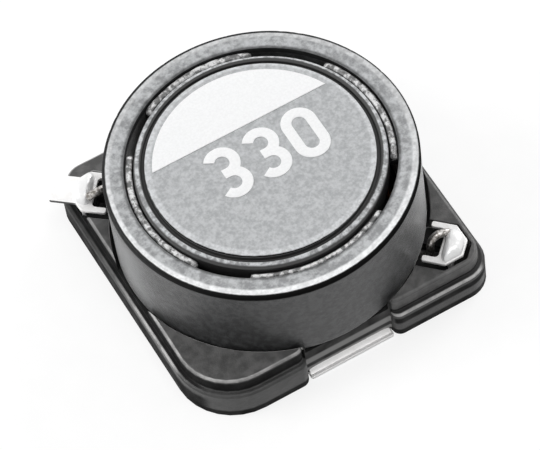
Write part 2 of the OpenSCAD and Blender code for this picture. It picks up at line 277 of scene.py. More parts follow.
def corners(node):
    """The lowest and highest corner of a node of the frame, in millimetres."""
    low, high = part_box(node)
    return np.array(low) / MM, np.array(high) / MM


def rounded(points, radii, closed=True, steps=5):
    """A line through points whose corners are arcs: each arc touches both of its sides, and its
    centre lies on the line that halves the corner. A radius of 0 keeps the corner."""
    points = np.asarray(points, float)
    radii = np.broadcast_to(radii, len(points))
    t = np.linspace(0, 1, steps + 1)[:, None]
    line = []
    for i, (corner, radius) in enumerate(zip(points, radii)):
        if radius == 0 or (not closed and i in (0, len(points) - 1)):
            line.append(corner[None])
            continue
        before, after = points[i - 1] - corner, points[(i + 1) % len(points)] - corner
        before, after = before / np.linalg.norm(before), after / np.linalg.norm(after)
        half = 0.5 * math.acos(float(np.clip(before @ after, -1, 1)))
        centre = corner + (before + after) / np.linalg.norm(before + after) * radius / math.sin(half)
        start = corner + before * radius / math.tan(half) - centre
        end = corner + after * radius / math.tan(half) - centre
        sweep = math.pi - 2 * half
        line.append(centre + (np.sin((1 - t) * sweep) * start + np.sin(t * sweep) * end) / math.sin(sweep))
    return np.concatenate(line)


def oblong(left, right, low, high):
    """The four corners of an upright rectangle."""
    return [[left, low], [right, low], [right, high], [left, high]]


def refined(line, longest, closed=True):
    """The same line with points added on its long stretches, none further apart than longest."""
    ends = np.roll(line, -1, axis=0) if closed else line[1:]
    starts = line if closed else line[:-1]
    counts = np.maximum(1, np.ceil(np.linalg.norm(ends - starts, axis=1) / longest)).astype(int)
    parts = np.concatenate([np.arange(n) / n for n in counts])[:, None]
    fine = np.repeat(starts, counts, axis=0) * (1 - parts) + np.repeat(ends, counts, axis=0) * parts
    return fine if closed else np.concatenate([fine, line[-1:]])


def turned(radius, height, angles):
    """Grid of a profile turned about Z: a row for each of its points, a column for each angle."""
    grid = [radius * np.cos(angles), radius * np.sin(angles), height]
    return np.stack(np.broadcast_arrays(*grid), axis=-1)


def ripple(seed, angles, lengths, count=9, first=2):
    """Smooth unevenness round a ring: a sum of waves whose count round the turn rises by one from
    first, with random phases that drift along the second coordinate."""
    draw = np.random.default_rng(seed)
    total = 0
    for k in range(first, first + count):
        phase, drift, size = draw.uniform(0, TURN), draw.normal(0, 0.8), draw.normal() / math.sqrt(k)
        total = total + size * np.sin(k * angles + phase + drift * lengths)
    return total / math.sqrt(count)


(_, _, ring_bottom), (ring_r, _, ring_top) = corners("ring_core")
bead_low, bead_high = corners("gap_bead_right")
seam = 0.01
bore_r = bead_high[0] + seam
outer_break, inner_break = 0.12, 0.07


def ferrite_ring():
    """The ring's section, turned about Z. Its wall waves a little, and small bites are taken out
    of its outer top edge: each bite is a bell curve round the turn."""
    section = refined(rounded(oblong(bore_r, ring_r, ring_bottom, ring_top),
                              [inner_break, outer_break, outer_break, inner_break], steps=6), 0.2)
    angles = np.linspace(0, TURN, 480, endpoint=False)
    radius, height = section[:, :1], section[:, 1:]
    outside = np.clip((radius - ring_r + outer_break) / outer_break, 0, 1)
    top_edge = outside * np.clip((height - ring_top + 0.25) / 0.25, 0, 1)
    wave = 0.010 * ripple(4, angles[None], height) - 0.016
    draw = np.random.default_rng(11)
    bites = 0
    for place, width, depth in zip(draw.uniform(0, TURN, 26), draw.uniform(0.006, 0.02, 26),
                                   draw.uniform(0.008, 0.03, 26)):
        away = (angles - place + math.pi) % TURN - math.pi
        bites = bites + depth * np.exp(-(away / width) ** 2)
    radius = radius + outside * wave - 0.9 * top_edge * bites
    height = height - 0.6 * top_edge * bites
    skin = Skin().grid(turned(radius, height, angles), around=True, closed=True)
    return skin.piece("ferrite_ring", sharp=60)


class Finish(Net):
    """A material with one Principled shader. Places are in the part's own coordinates, in metres."""

    def __init__(self, name):
        self.material = bpy.data.materials.new(name)
        self.material.use_nodes = True
        super().__init__(self.material.node_tree)
        self.place = self.node("ShaderNodeTexCoord", output="Object")

    def noise(self, size_mm, detail=2.0, roughness=0.5, stretch=(1, 1, 1)):
        """Soft random pattern whose patches are about size_mm across, from 0 to 1."""
        place = self.node("ShaderNodeMapping", None, {"Vector": self.place, "Scale": stretch})
        return self.node("ShaderNodeTexNoise", None, {"Vector": place, "Scale": 1 / (size_mm * MM),
                         "Detail": detail, "Roughness": roughness}, "Fac")

    def along(self, x, y, z=0):
        """How far a point lies along a direction from the part's origin, in millimetres."""
        return self.dot(self.place, (x / MM, y / MM, z / MM))

    def faces(self, x, y, z=0):
        """How far the surface faces a direction, from -1 to 1."""
        return self.dot(self.node("ShaderNodeNewGeometry", output="Normal"), (x, y, z))

    def reach(self):
        """Distance from the part's axis, in millimetres."""
        flat = self.node("ShaderNodeVectorMath", {"operation": "MULTIPLY"}, {0: self.place, 1: (1, 1, 0)})
        return self.node("ShaderNodeVectorMath", {"operation": "LENGTH"}, {0: flat}, "Value") * (1 / MM)

    def height(self):
        """Height above the table, in millimetres."""
        return self.along(0, 0, 1)

    def tone(self):
        """The number that the mesh holds for each point."""
        return self.node("ShaderNodeAttribute", {"attribute_name": "tone"}, output="Fac")

    def relief(self, height, depth_mm):
        """Normals of a surface whose height varies by depth_mm."""
        return self.node("ShaderNodeBump", None, {"Height": height, "Distance": depth_mm * MM})

    def surface(self, painted_shade=None, **sockets):
        """Finishes the material. A socket's name is written with _ for each space. The first argument
        says where the surface is painted matt black, as painted shade."""
        inputs = {key.replace("_", " "): value for key, value in sockets.items()}
        shader = self.node("ShaderNodeBsdfPrincipled", None, inputs)
        if painted_shade is not None:
            # Painted shade: a matt black shader, mixed in where the first argument says.
            painted_shade_black = self.node("ShaderNodeBsdfDiffuse", None, {"Color": grey(0.014)})
            shader = self.node("ShaderNodeMixShader", None, {0: painted_shade, 1: shader, 2: painted_shade_black})
        self.node("ShaderNodeOutputMaterial", None, {"Surface": shader})
        return self.material


def dress(piece, material, slot, *nodes):
    """Gives a piece its material. Where nodes of the frame are given, it parents the piece to the root body
    and hides those nodes, which the piece stands for.
    """
    piece.data.materials.clear()
    piece.data.materials.append(material)
    if nodes:
        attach(piece, "root")
        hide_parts(*nodes)


def ring_finish():
    """Pale where it is ground, partly for that finish and partly as painted sheen of the light from
    above, with a painted highlight band on the top near its outer edge, brightest at the front, and
    dark on the wall. Painted shade, matt black, lies in a line just under that edge, less at the
    back, and at the inner edge of the top. Two strips of the wall, at the left and at the right, are
    painted pale as painted highlights."""
    finish = Finish("ring ferrite")
    reach, height = finish.reach(), finish.height()
    wander = 0.06 * (finish.noise(0.3) - 0.5)
    far = finish.along(-0.4, 0.9).step(-3.0, 3.0)
    # Painted sheen: the ground top is painted pale, partly for its finish and partly for the light from
    # above.
    ground = height.step(ring_top - 0.035, ring_top - 0.012)
    ground = ground * (reach + 0.5 * wander + 0.06 * far).step(ring_r - 0.065, ring_r - 0.115)
    # Painted highlight: a pale band on the top near its outer edge, where the edge catches the light.
    painted_rim_highlight = (reach + wander).step(ring_r - 0.37, ring_r - 0.27)
    # Painted shade, matt black: at the inner edge of the top beside the gap, and in a line just under the
    # outer edge, less at the back.
    inner_edge = (reach + 2 * wander).step(bore_r + 0.17, bore_r + 0.05) * (0.4 + 0.5 * finish.noise(1.5))
    black_line = (height + wander).step(ring_top - 0.32, ring_top - 0.24) * (1 - ground)
    # The painted highlight band is brighter towards the front.
    painted_highlight_front = finish.along(-0.45, -0.89).step(-3.0, 5.0)
    streaks = 0.5 * (finish.noise(0.8, 4.0, 0.65) - 0.5)
    # Painted highlights: pale strips of the wall at the left and at the right, where the silhouettes catch
    # the light.
    left = (finish.along(-0.99, 0.14) + streaks).step(5.30, 6.05) * (height + 2 * streaks).step(5.5, 4.6)
    right = (finish.along(0.866, -0.5) + 0.5 * streaks).step(5.62, 6.02)
    painted_silhouette_highlight = left.most(right) * (height + 2 * streaks).step(1.6, 3.2)
    fired = finish.greys(finish.noise(0.30, 4.0, 0.65).step(0.40, 0.62), 0.030, 0.072, -0.02)
    # The wall's own dark colour, with the painted highlight strips mixed in.
    fired = finish.mix(painted_silhouette_highlight, fired, grey(0.26, -0.02))
    blotch = 0.6 * finish.noise(0.5, 4.0, 0.6) + 0.4 * finish.noise(0.16, 2.0, 0.6)
    top = finish.greys(blotch.step(0.38, 0.62), 0.26, 0.52, -0.02)
    speckle = finish.noise(0.22, 3.0, 0.6).step(0.3, 0.7)
    # The colours of the painted highlight band.
    bright = finish.mix(painted_highlight_front, finish.greys(speckle, 0.42, 0.66, -0.01),
                        finish.greys(speckle, 0.72, 0.98, -0.01))
    relief = finish.relief(finish.noise(0.05, 3.0, 0.6) + 0.8 * finish.noise(0.25), 0.012)
    colour = finish.mix(ground, fired, finish.mix(painted_rim_highlight, top, bright))
    # Where painted shade makes the surface matt black.
    painted_shade = (black_line * (1 - 0.25 * far)).most(ground * inner_edge)
    return finish.surface(painted_shade=painted_shade, Base_Color=colour, Roughness=0.34 + 0.12 * ground, IOR=1.5,
                          Sheen_Weight=1.0, Sheen_Roughness=0.2, Normal=relief)


dress(ferrite_ring(), ring_finish(), "ring_ferrite", "ring_core")

# -------------------------------------------------------- the ferrite bobbin
# The core that carries the winding: two flanges on a post, pressed and fired
# in one piece. Its top is ground and marked, inside a groove that the press
# left round it, and the rim outside the groove falls away a little.

(_, _, bobbin_bottom), (flange_r, _, face_z) = corners("drum_core")
(_, _, coil_low), (coil_r, _, coil_high) = corners("winding")
lower_flange_r = coil_r + 0.2
post_r = 2.2
rim_width, groove_width, groove_depth = 0.29, 0.15, 0.2
rim_step, rim_fall = 0.06, 0.1
rim_r = flange_r - rim_width
face_r = rim_r - groove_width
flange_top, flange_low = coil_low - 0.02, coil_high + 0.02


def ferrite_bobbin():
    """The bobbin's section from the middle of its underside to the middle of its face, turned about Z."""
    rim_z = face_z - rim_step
    groove_floor = face_z - groove_depth
    corner = np.array([
        [0, bobbin_bottom, 0], [lower_flange_r, bobbin_bottom, 0.06], [lower_flange_r, flange_top, 0.06],
        [post_r, flange_top, 0.05], [post_r, flange_low, 0.05], [flange_r, flange_low, 0.06],
        [flange_r, rim_z - rim_fall, 0.05], [rim_r, rim_z, 0.035], [rim_r, groove_floor, 0.03],
        [face_r, groove_floor, 0.03], [face_r, face_z, 0.05], [0, face_z, 0]])
    section = refined(rounded(corner[:, :2], corner[:, 2], closed=False, steps=4), 0.3, closed=False)
    angles = np.linspace(0, TURN, 360, endpoint=False)
    radius, height = section[:, :1], section[:, 1:]
    outside = (radius > face_r + 0.5 * groove_width) & (height > coil_high)
    radius = radius + outside * (0.006 * ripple(8, angles[None], height) - 0.006)
    return Skin().grid(turned(radius, height, angles), around=True).piece("ferrite_bobbin", sharp=50)


def bobbin_finish():
    """A mottled ground face, pale partly for that finish and partly as painted sheen of the light from
    above, with a painted highlight along its edge and painted shade, matt black, on its very edge by
    the groove; a black groove and a pale, abraded rim. The groove was pressed a little off the axis,
    so the painted highlight at the face's edge and the rim are wider at one side."""
    finish = Finish("bobbin ferrite")
    reach, height = finish.reach(), finish.height()
    wander = 0.04 * (finish.noise(0.25) - 0.5)
    off_axis = (finish.along(1, 0) - 0.06) ** 2.0 + (finish.along(0, 1) - 0.075) ** 2.0
    pressed = off_axis ** 0.5 + wander
    mottle = (0.5 * finish.noise(0.34, 3.0, 0.62) + 0.5 * finish.noise(0.12, 2.0, 0.6)).step(0.36, 0.64)
    # Painted sheen: the ground face is painted pale, partly for its finish and partly for the light from
    # above.
    face = finish.mix(mottle, grey(0.37, -0.025), grey(0.53, -0.02))
    # Painted highlight: the face is painted paler near its edge.
    face = finish.mix(pressed.step(face_r - 0.27, face_r - 0.17), face,
                      finish.greys(mottle, 0.48, 0.68, -0.02))
    on_face = height.step(face_z - 0.035, face_z - 0.012)
    on_rim = pressed.band(rim_r + 0.05, rim_r + 0.11, flange_r - 0.09, flange_r - 0.01)
    on_rim = on_rim * height.step(face_z - 0.6, face_z - 0.4)
    on_rim = on_rim * (reach + wander).step(rim_r - 0.01, rim_r + 0.03)
    rim = finish.greys(finish.noise(0.2, 3.0, 0.6).step(0.36, 0.64), 0.26, 0.62, -0.02)
    colour = finish.mix(on_rim, finish.mix(on_face, grey(0.022), face), rim)
    relief = finish.relief(finish.noise(0.05, 3.0, 0.6) + finish.noise(0.18), 0.010)
    # Painted shade: the face's very edge, beside the groove, is matt black.
    return finish.surface(painted_shade=on_face * pressed.step(face_r - 0.01, face_r + 0.04), Base_Color=colour,
                          Roughness=0.5, IOR=1.5, Normal=relief)


dress(ferrite_bobbin(), bobbin_finish(), "drum_ferrite", "drum_core")

# ----------------------------------------------------------- the moulded base
# A square plate of black heat-resistant resin: an outer slab, four corner
# blocks, a round seat for the ring and a deeper floor for the bobbin. It is
# moulded in one piece, with a notch at each pad and a pocket under each lug.

_, (half, _, block_top) = corners("base")
slab_top = 1.35
bottom_edge, slab_edge = 0.05, 0.13
block_inset, block_foot, block_edge, block_draft = 0.25, 0.04, 0.13, 0.012
plain_round, lug_round = 2.4, 1.1
notch_half, notch_deep, notch_round = 1.85, 0.4, 0.35
seat_z, seat_r = ring_bottom - 0.05, ring_r + 0.12
(_, _, floor_z), _ = corners("drum_adhesive")
pocket_r = bore_r - 0.15
sheet_z = 0.15
sheet_room = 0.04


def base_line(inset, edge):
    """Outline of the base: a square with two sharper and two rounder corners and two notches.
    inset moves its faces inwards, and edge moves every wall inwards, those of the notches too."""
    face, mouth = half - inset - edge, notch_half + edge
    wall = half - notch_deep - edge
    inner, outer = 0.07 + edge, max(notch_round - edge, 0.02)
    lug, plain = lug_round - inset - edge, plain_round - inset - edge
    side = np.array([[mouth, -wall, inner], [mouth, -face, outer], [face, -face, lug],
                     [face, face, plain], [mouth, face, outer], [mouth, wall, inner]])
    both = np.concatenate([side, side * [-1, -1, 1]])
    return rounded(both[:, :2], both[:, 2], steps=8)


def risen(line, height):
    """A flat outline put at a height."""
    return np.column_stack([line, np.full(len(line), height)])


def capped(rings, name):
    """A closed piece: a wall through the rings, one after another, and a flat face at both ends."""
    return Skin().grid(rings, around=True).lid(rings[0]).lid(rings[-1]).piece(name)


def quarter(radius, steps=5):
    """A rounded edge in steps, each as how much of the radius is still to go and how much is done."""
    angles = np.linspace(0, math.pi / 2, steps)
    return [(radius * (1 - math.sin(a)), radius * (1 - math.cos(a))) for a in angles]


def moulding():
    """The base's outlines, one for each level, skinned into walls: the slab with its edges broken,
    the ledge, the riser with a little draft, and the broken top edge of the blocks."""
    levels = [(0, rest, done) for rest, done in quarter(bottom_edge)]
    levels += [(done, 0, slab_top - rest) for rest, done in quarter(slab_edge)]
    levels += [(block_inset - rest, 0, slab_top + done) for rest, done in quarter(block_foot)]
    levels += [(block_inset + block_draft, done, block_top - rest) for rest, done in quarter(block_edge)]
    return capped(np.array([risen(base_line(inset, cut), z) for inset, cut, z in levels]), "moulded_base")


def tool(line_at, levels):
    """A closed solid whose outline at each (spread, height) is line_at(spread)."""
    return capped(np.array([risen(line_at(spread), z) for spread, z in levels]), "tool")


def flared(low, high, lip, floor_round=0.04):
    """Levels of a cutter from low up to the surface at high: it starts narrow by the radius of the
    floor's corner and opens in a quarter circle of radius lip just below the surface."""
    levels = [(-rest, low + done) for rest, done in quarter(floor_round)]
    return levels + [(done, high - rest) for rest, done in quarter(lip)] + [(lip, high + 0.5)]


def disc_line(radius):
    """Round outline whose radius grows by spread."""
    angles = np.linspace(0, TURN, 288, endpoint=False)
    return lambda spread: (radius + spread) * np.stack([np.cos(angles), np.sin(angles)], axis=-1)


LUG_ANGLE = {False: math.radians(-45), True: math.radians(180 - 45 + 5)}


def corner_frame(points, back):
    """From a lug's own directions, outwards and across, to the part's. The front lug lies on the
    diagonal of its corner. The back one lies opposite, turned a little towards the side face."""
    cosine, sine = math.cos(LUG_ANGLE[back]), math.sin(LUG_ANGLE[back])
    flat = points[..., :2] @ np.array([[cosine, sine], [-sine, cosine]])
    return np.concatenate([flat, points[..., 2:]], axis=-1)


def unit(rows):
    """Each direction made 1 long."""
    return rows / np.linalg.norm(rows, axis=1, keepdims=True)


def grown(points, radius, amount):
    """A convex outline moved outwards by amount: each side moves along its own normal."""
    points = np.asarray(points, float)
    ahead = np.roll(points, -1, axis=0) - points
    normal = unit(np.stack([ahead[:, 1], -ahead[:, 0]], axis=-1))
    before = np.roll(normal, 1, axis=0)
    shift = (normal + before) / (1 + np.sum(normal * before, axis=1, keepdims=True))
    return rounded(points + amount * shift, max(radius + amount, 0.01))


# A lug starts outside the ring and ends a little short of its corner, and the
# base is cut away round it.
corner_reach = (half - lug_round) * math.sqrt(2) + lug_round
lug_start, lug_end = ring_r + 0.2, corner_reach - 0.68
lug_half, lug_cut = 0.9, 0.55
riser_at, riser_half = lug_end - 0.5, 0.6
_, (_, _, lug_top) = corners("front_terminal")
lug_low = lug_top - sheet_z
pad_half, pad_front, pad_long = 1.8, 0.1 - half, 1.6
strip_wide, strip_lap = 0.9, 0.5

PAD = oblong(-pad_half, pad_half, pad_front, pad_front + pad_long)
room_end, room_half, room_cut = lug_end + 0.15, lug_half + 0.15, lug_cut + 0.15
POCKET = [[ring_r - 0.12, -room_half], [room_end - room_cut, -room_half], [room_end, room_cut - room_half],
          [room_end, room_half - room_cut], [room_end - room_cut, room_half], [ring_r - 0.12, room_half]]
SLOT = oblong(post_r + 1, lug_start + 0.65, -0.3, 0.3)
RISER = oblong(riser_at - sheet_z / 2, riser_at + sheet_z / 2, -riser_half, riser_half)


def placed(line, back, on_lug):
    """An outline in the part's directions, from a lug's where on_lug is set."""
    line = np.asarray(line, float)
    if on_lug:
        return corner_frame(line, back)
    return -line if back else line


def strip_line(back):
    """Outline of the strip under the base, from the pad to both ends of the riser's foot."""
    foot = placed(RISER[1:3], back, True)
    foot = -foot if back else foot
    inner = pad_front + pad_long
    return [[pad_half - strip_lap, inner - strip_wide], foot[0], foot[1], [pad_half - strip_lap, inner]]


def joined(first, second, kind):
    """first with second added to it or cut from it, by Blender's solid modelling."""
    step = first.modifiers.new("solid", "BOOLEAN")
    step.operation, step.object, step.solver = kind, second, "MANIFOLD"
    bpy.context.view_layer.update()
    shape = bpy.data.meshes.new_from_object(first.evaluated_get(bpy.context.evaluated_depsgraph_get()))
    first.modifiers.clear()
    first.data = shape
    bpy.data.objects.remove(second)
    return first


def cutters():
    """The core's shapes: the seat, the floor's pocket, and for each end its lug's pocket, the
    wire's slot, the riser's slot and the recess of the pad and strip underneath."""
    yield tool(disc_line(seat_r), flared(seat_z, block_top, 0.05))
    yield tool(disc_line(pocket_r), flared(floor_z, seat_z, 0.04))
    for back in (False, True):
        yield tool(lambda s: placed(grown(POCKET, 0.12, s), back, True),
                   flared(block_top - 0.6, block_top, 0.04))
        yield tool(lambda s: placed(grown(SLOT, 0.05, s), back, True), flared(1.0, block_top, 0.01))
        yield tool(lambda s: placed(grown(RISER, 0.02, sheet_room + s), back, True),
                   [(0, -0.5), (0, block_top + 0.5)])
        for line in (PAD, strip_line(back)):
            yield tool(lambda s: placed(grown(line, 0.05, sheet_room + s), back, False),
                       [(0.02, -0.5), (0.02, 0.0), (0, 0.02), (0, sheet_z)])


def base_finish():
    """Black resin. Painted highlights make it pale on rounded edges and on a band of the notches'
    walls, and grey on the risers of the blocks at the right; the painted highlights are paler on faces
    that look to the front at the right, and the top faces of the blocks are painted paler than the
    ledge, as painted light from above. Painted shade, matt black, lies along the bottom, on the
    risers, in a line under the slab's edge at the right, low on the ends, on the ledge at the foot of
    the blocks, in the pockets and in bands in the notches. The notches are found by the squares of x
    and y, which are the same for both."""
    finish = Finish("base resin")
    height, x, y = finish.height(), finish.along(1, 0), finish.along(0, 1)
    upright, facing = finish.faces(0, 0, 1), finish.faces(0, -1).step(0.3, 0.7)
    wall = upright.step(0.35, 0.1)
    on_right, to_front = x.step(0.0, 2.0), y.step(3.5, -1.5)
    right_end, left_end = x.step(5.6, 5.95), x.step(-5.6, -5.95)
    front_left = finish.along(-0.2, -1).step(4.6, 5.4) * (1 - on_right)
    back_left = left_end * (1 - to_front)
    notch = (x ** 2.0).step(notch_half ** 2 + 0.3, notch_half ** 2) * (y ** 2.0).band(33.2, 33.9, 34.6, 35.2)

    # Painted shade, put on as matt black: on the risers, in a line under the slab's edge at the right, at the
    # bottom, low on the ends, on the ledge and at the foot of the blocks, in the pockets, and in bands on the
    # notches' walls.
    riser = wall * height.band(slab_top + 0.02, slab_top + 0.10, block_top - 0.22, block_top - 0.10)
    under_edge = facing * on_right * height.band(0.70, 0.84, 1.04, 1.18)
    ledge = height.band(slab_top - 0.006, slab_top - 0.002, block_top - 0.22, block_top - 0.10)
    foot = height.band(slab_top - 0.004, slab_top - 0.001, slab_top + 0.06, slab_top + 0.12)
    pocket_floor = upright.step(0.4, 0.7) * height.band(1.38, 1.42, seat_z + 0.04, seat_z + 0.08)
    in_notch = height.step(0.98, 1.12).most(height.band(0.42, 0.52, 0.66, 0.76)).most(height.step(0.34, 0.20))
    painted_shade_black = (riser * (1 - 0.85 * on_right)).most(height.step(0.42, 0.28)).most(under_edge)
    painted_shade_black = painted_shade_black.most(left_end * (wall * height.step(1.15, 0.85)).most(ledge))
    painted_shade_black = painted_shade_black.most(0.7 * on_right * foot).most(0.7 * back_left * height.step(1.7, 1.5))
    painted_shade_black = painted_shade_black.most(0.6 * x.step(5.75, 5.98) * height.step(1.45, 1.3))
    painted_shade_black = finish.node("ShaderNodeMix", None, {0: notch, 2: painted_shade_black, 3: in_notch})
    painted_shade_black = painted_shade_black.most(pocket_floor) * (1.05 - 0.45 * finish.noise(0.6))

    # Painted highlights: pale on rounded edges where the light catches them, patchy, and on a band of the
    # notches' walls; less on the ends and at the right.
    on_block = height.step(1.6, 1.8)
    highlight_paint_spread = (on_block * (1 - 0.55 * left_end)).most((1 - front_left) * (1 - back_left))
    highlight_paint_spread = highlight_paint_spread * (1 - 0.9 * on_right * on_block) * (1 - 0.9 * right_end)
    painted_highlight_mask = upright.band(0.12, 0.4, 0.9, 0.985) * height.step(1.1, 1.2) * highlight_paint_spread
    painted_highlight_mask = painted_highlight_mask * height.step(slab_top + 0.003, slab_top - 0.003).most(
        height.step(slab_top + 0.08, slab_top + 0.14))
    painted_highlight_mask = painted_highlight_mask * (0.45 + 0.55 * finish.noise(0.9, 3.0, 0.6).step(0.35, 0.6))
    painted_highlight_mask = painted_highlight_mask.most(notch * wall * 0.6)
    # Painted light: the risers of the blocks at the right are painted grey.
    painted_light_right_risers = height.band(slab_top + 0.06, slab_top + 0.14, block_top - 0.16, block_top - 0.08)
    painted_light_right_risers = wall * on_right * painted_light_right_risers

    cloud = finish.noise(0.5, 3.0, 0.55).step(0.35, 0.7)
    dark = finish.greys(cloud, 0.024, 0.052, 0.01)
    # The walls' colour, with painted light on the right risers.
    sides = finish.mix(painted_light_right_risers, dark, finish.greys(cloud, 0.12, 0.20, 0.01))
    # Top faces of the blocks are painted paler than the ledge below them, as painted light from above.
    painted_lit_tops = finish.mix(height.step(1.7, 1.5), finish.greys(cloud, 0.058, 0.115, 0.01), dark)
    # The colour of the painted highlights, paler on faces that look to the front at the right.
    bare = finish.greys(on_right * facing, 0.50, 0.72, 0.01)
    colour = finish.mix(painted_highlight_mask, finish.mix(wall, painted_lit_tops, sides), bare)
    grain = finish.noise(0.035, 2.0, 0.6) + 0.7 * finish.noise(0.12)
    flow = finish.noise(1.6, 2.0, 0.5, stretch=(1, 0.35, 1))
    return finish.surface(painted_shade=painted_shade_black, Base_Color=colour, Roughness=0.32 + 0.18 * flow, IOR=1.5,
                          Normal=finish.relief(grain, 0.010))


def flat_faced(piece, sharp):
    """Marks the sharp edges of a joined solid, and weighs its normals so that flat faces look flat."""
    piece.data.polygons.foreach_set("use_smooth", [True] * len(piece.data.polygons))
    piece.data.set_sharp_from_angle(angle=math.radians(sharp))
    piece.modifiers.new("flat faces", "WEIGHTED_NORMAL").keep_sharp = True
    return piece


moulded_base = moulding()
for cutter in cutters():
    moulded_base = joined(moulded_base, cutter, "DIFFERENCE")
dress(flat_faced(moulded_base, 32), base_finish(), "base_resin", "base")

# ---------------------------------------------------------------- the winding
# One length of enamelled copper wire, laid on the post in layers of turns that
# go up and down between the flanges. Only its outermost turns show, through
# the gaps between the cores.

wire_r = 0.16
bare_r = 0.985 * wire_r


def tube(path, radius, sides, name):
    """A round wire along a path: at each point a circle square to the path, in a frame that is
    carried along by taking away from the last frame its share along the new direction."""
    along = unit(np.gradient(path, axis=0))
    across = np.zeros_like(path)
    across[0] = np.cross(along[0], [0.31, 0.2, 1.0])
    for i in range(1, len(path)):
        across[i] = across[i - 1] - along[i] * (across[i - 1] @ along[i])
        across[i] /= np.linalg.norm(across[i])
    across[0] /= np.linalg.norm(across[0])
    other = np.cross(along, across)
    angles = np.linspace(0, TURN, sides, endpoint=False)[:, None]
    rings = path[:, None] + radius * (np.cos(angles) * across[:, None] + np.sin(angles) * other[:, None])
    rings = np.concatenate([path[:1, None] + 0 * rings[:1], rings, path[-1:, None] + 0 * rings[:1]])
    return Skin().grid(rings, around=True).piece(name, sharp=60)


def wound_coil():
    """A helix that climbs and falls between the flanges. Each layer lies in the hollows of the
    one below, and between layers the wire moves out over a quarter of a turn."""
    turns = int((coil_high - coil_low) / (2 * wire_r))
    pitch = (coil_high - coil_low) / turns
    layers = int((coil_r - post_r) / (1.8 * wire_r))
    spacing = (coil_r - post_r - 2 * wire_r - 0.01) / (layers - 1)
    t = np.linspace(0, layers, layers * (turns - 1) * 44 + 1)
    layer = np.minimum(t.astype(int), layers - 1)
    inside = t - layer
    climb = np.where(layer % 2 == 0, inside, 1 - inside)
    height = coil_low + pitch / 2 + climb * (turns - 1) * pitch
    lift = np.clip(inside * (turns - 1) * 4, 0, 1)
    radius = post_r + wire_r + 0.01 + spacing * np.maximum(layer - 1 + lift, 0)
    angle = t * (turns - 1) * TURN
    path = np.stack([radius * np.cos(angle), radius * np.sin(angle), height], axis=-1)
    return tube(path, bare_r, 7, "wound_coil")


def enamel_finish():
    """Copper seen through a thin film of clear enamel of uneven depth."""
    finish = Finish("enamelled copper")
    film = finish.noise(0.6, 2.0)
    colour = finish.mix(film.step(0.3, 0.7), (0.30, 0.115, 0.045, 1), (0.46, 0.19, 0.075, 1))
    return finish.surface(Base_Color=colour, Metallic=0.85, Roughness=0.28 + 0.12 * film, Coat_Weight=0.6,
                          Coat_Roughness=0.15, Normal=finish.relief(finish.noise(0.08), 0.003))


dress(wound_coil(), enamel_finish(), "enamelled_wire", "winding")

# --------------------------------------------------------------- the wire ends
# The two ends of the winding's wire. Each leaves the winding near its foot,
# bends down past the lower flange, runs out under the ring in its slot, comes
# up between the hooks of the lug and ends in the solder, where it is tinned.

in_slot = 1.04 + wire_r
beside_coil = coil_r + 1.24 * wire_r
beside_flange = (lower_flange_r + pocket_r) / 2
in_mouth = lug_start + 1.12 * wire_r
over_lug = lug_top + 1.8 * wire_r


def polar(radius, degrees, height):
    """A point at an angle from the lug's diagonal."""
    return [radius * math.cos(math.radians(degrees)), radius * math.sin(math.radians(degrees)), height]


ROUTE = [polar(beside_coil, 48, flange_top + 0.45), polar(beside_coil, 38, flange_top + 0.44),
         polar(beside_coil + 0.06, 28, flange_top + 0.38),
         polar(beside_flange - 0.04, 18.5, flange_top + 0.22),
         polar(beside_flange, 10.5, flange_top - 0.02), polar(beside_flange + 0.02, 4.5, in_slot + 0.26),
         [beside_flange + 0.23, 0.10, in_slot + 0.05], [beside_flange + 0.64, 0, in_slot],
         [ring_r - 0.10, -0.05, in_slot], [lug_start, -0.11, in_slot + 0.12],
         [in_mouth - 0.03, -0.16, in_slot + 0.45], [in_mouth, -0.15, lug_low + 0.05],
         [in_mouth + 0.07, -0.05, over_lug - 0.10], [in_mouth + 0.22, 0.13, over_lug],
         [(in_mouth + riser_at) / 2 + 0.02, 0.30, over_lug - 0.03], [riser_at - 0.22, 0.40, over_lug - 0.09]]


def smooth_path(points, steps):
    """A curve through the points whose direction at each is that from the one before to the one
    after, which is what Catmull and Rom's cubic gives."""
    p = np.asarray(points, float)
    a, b, c, d = (p[np.clip(np.arange(len(p) - 1) + k, 0, len(p) - 1)][:, None] for k in (-1, 0, 1, 2))
    f = np.linspace(0, 1, steps, endpoint=False)[:, None]
    curve = b + (c - a) * f / 2 + (2 * a - 5 * b + 4 * c - d) * f ** 2 / 2
    curve = curve + (3 * b - a - 3 * c + d) * f ** 3 / 2
    return np.concatenate([curve.reshape(-1, 3), p[-1:]])


def wire_end(name, back):
    """The wire along its route, at the front lug or at the back one."""
    return tube(corner_frame(smooth_path(ROUTE, 9), back), bare_r, 16, name)


def tinned_wire_finish():
    """Copper under enamel at the winding, and bare with a coat of tin from under the ring outwards."""
    finish = Finish("tinned wire end")
    outside = (finish.reach() + 0.4 * finish.noise(0.3)).step(ring_r - 0.5, ring_r + 0.1)
    stain = finish.noise(0.12, 3.0, 0.6).step(0.4, 0.6)
    stained = finish.mix(stain, (0.20, 0.185, 0.17, 1), (0.62, 0.60, 0.58, 1))
    colour = finish.mix(outside, (0.40, 0.16, 0.06, 1), stained)
    return finish.surface(Base_Color=colour, Metallic=0.9, Roughness=0.24 + 0.15 * finish.noise(0.1),
                          Normal=finish.relief(finish.noise(0.06), 0.004))


wire_finish = tinned_wire_finish()
dress(wire_end("start_wire", False), wire_finish, "enamelled_wire", "start_lead")
dress(wire_end("finish_wire", True), wire_finish, "enamelled_wire", "finish_lead")

# --------------------------------------------------------------- the terminals
# Each terminal is one strip of tinned copper alloy, cut and folded: the solder
# pad under a notch, a strip under the base, a riser through the base and the
# lug, whose two hooks stand on each side of the wire. The back one keeps a tail.

